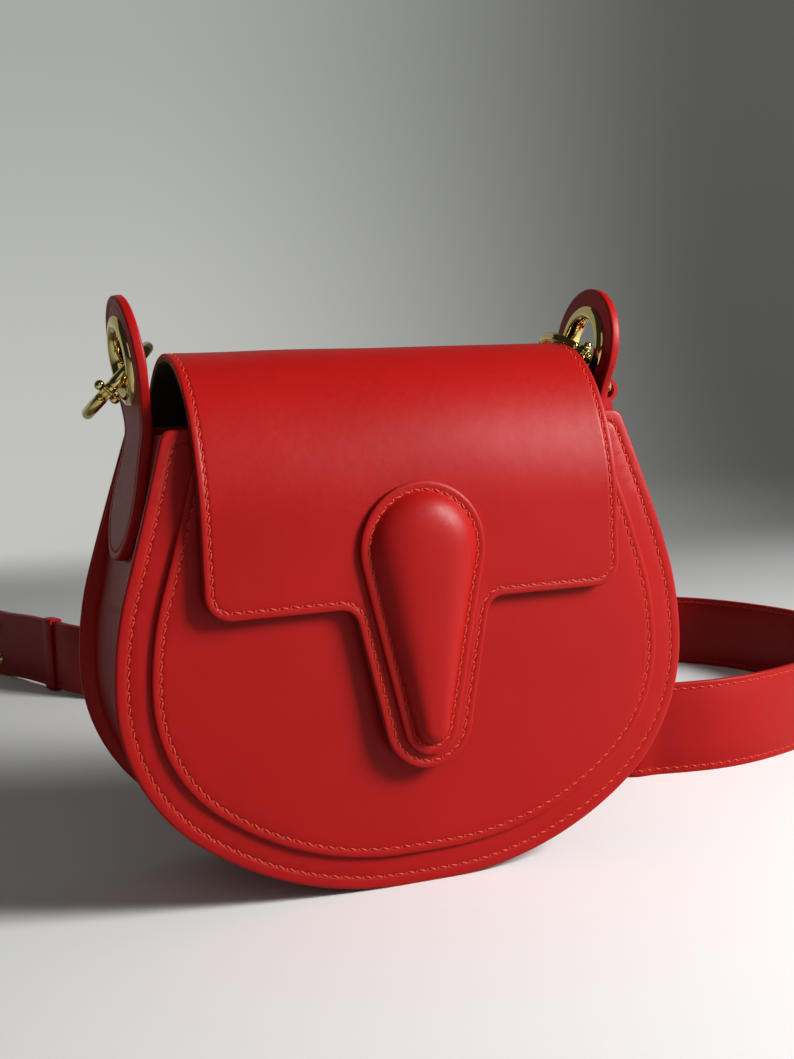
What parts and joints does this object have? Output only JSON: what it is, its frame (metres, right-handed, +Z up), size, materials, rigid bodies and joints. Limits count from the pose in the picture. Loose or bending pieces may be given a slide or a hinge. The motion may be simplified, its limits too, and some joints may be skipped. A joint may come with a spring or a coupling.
{
  "type": "saddle handbag",
  "caption": "Round saddle handbag with a padded drop on its flap, an eyelet and a ring at each side, and a wide shoulder strap lying on edge behind it.",
  "frame": {"origin": "on the floor under the middle of the bag's box, strap left out", "axes": "+X to the bag's right seen from the front, -Y towards the front with the drop, +Z up"},
  "size_m": [0.4218, 0.5601, 0.2072],
  "materials": {
    "red_leather": "smooth satin leather, dyed red, painted edges",
    "tan_lining": "tan lining leather",
    "gold_metal": "polished gold colour plating",
    "snap_steel": "nickel colour",
    "pad_foam": "soft foam"
  },
  "bodies": {
    "bag": {"front_panel": "red_leather", "front_overlay": "red_leather", "rear_panel": "red_leather", "gusset": "red_leather", "front_lining": "tan_lining", "rear_lining": "tan_lining", "gusset_lining": "tan_lining", "inner_pocket": "tan_lining", "left_side_tab": "red_leather", "right_side_tab": "red_leather", "left_eyelet": "gold_metal", "right_eyelet": "gold_metal", "left_eyelet_washer": "gold_metal", "right_eyelet_washer": "gold_metal", "flap_anchor": "red_leather", "snap_socket": "snap_steel", "snap_socket_washer": "snap_steel", "strap_band": "red_leather", "strap_ring_loop": "red_leather", "strap_free_loop": "red_leather", "strap_turnback": "red_leather", "strap_keeper": "red_leather", "strap_screws": "gold_metal", "strap_rivets": "gold_metal"},
    "flap": {"flap_panel": "red_leather", "flap_lining": "tan_lining", "drop_border": "red_leather", "drop_cover": "red_leather", "drop_foam": "pad_foam", "snap_stud": "snap_steel", "snap_stud_washer": "snap_steel"},
    "left_ring_body": {"left_ring": "gold_metal", "left_gate_pin": "gold_metal"},
    "left_gate": {"left_ring_gate": "gold_metal"},
    "right_ring_body": {"right_ring": "gold_metal", "right_gate_pin": "gold_metal"},
    "right_gate": {"right_ring_gate": "gold_metal"}
  },
  "joints": [
    {"name": "flap_hinge", "type": "hinge", "parent": "bag", "child": "flap", "pos_m": [0, 0.03987, 0.16], "axis": [-1, 0, 0], "range_deg": [0, 150]},
    {"name": "left_ring_swing", "type": "hinge", "parent": "bag", "child": "left_ring_body", "pos_m": [-0.08951, 0.01785, 0.17857], "axis": [0, 1, 0], "range_deg": [-10, 2]},
    {"name": "left_gate_hinge", "type": "hinge", "parent": "left_ring_body", "child": "left_gate", "pos_m": [-0.09571, 0.00453, 0.17468], "axis": [0.7018, -0.1219, -0.7018], "range_deg": [0, 15], "stiffness_Nm_per_rad": 0.02, "springref_deg": -11.46},
    {"name": "right_ring_turn", "type": "hinge", "parent": "bag", "child": "right_ring_body", "pos_m": [0.08951, 0.01785, 0.17857], "axis": [0.7071, 0, 0.7071], "range_deg": [-18, 12]},
    {"name": "right_gate_hinge", "type": "hinge", "parent": "right_ring_body", "child": "right_gate", "pos_m": [0.08514, 0.00396, 0.18294], "axis": [-0.7071, 0, -0.7071], "range_deg": [0, 15], "stiffness_Nm_per_rad": 0.02, "springref_deg": -11.46}
  ]
}
